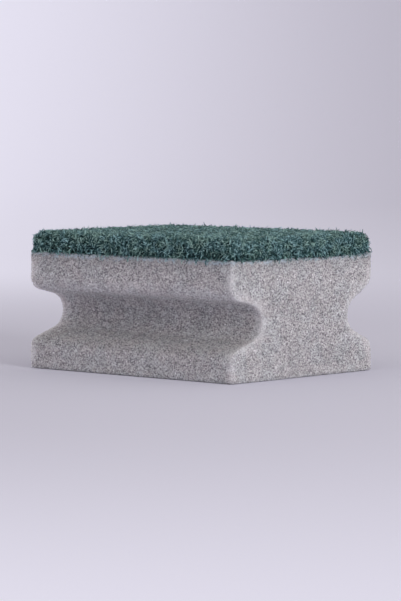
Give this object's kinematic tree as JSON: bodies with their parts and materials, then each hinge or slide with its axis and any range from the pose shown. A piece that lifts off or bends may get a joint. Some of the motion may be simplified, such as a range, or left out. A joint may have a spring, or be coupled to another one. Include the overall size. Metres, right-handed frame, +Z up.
{
  "type": "cleaning sponge",
  "caption": "Grooved kitchen sponge: a light grey foam block with a finger groove along both long sides and a dark green scouring pad glued over its top.",
  "frame": {"origin": "middle of the foam's base, on the surface the sponge lies on", "axes": "+X along the length, +Y from the front groove to the back groove, +Z up through the scouring pad"},
  "size_m": [0.09, 0.07, 0.0455],
  "materials": {
    "foam": "light warm grey open-cell foam, dry, with fine round pores and sawn faces",
    "pad": "dark green nonwoven scouring fibre, matt, tangled, with stray fibre ends"
  },
  "bodies": {
    "root": {"foam_block": "foam", "scouring_pad": "pad"}
  },
  "joints": []
}
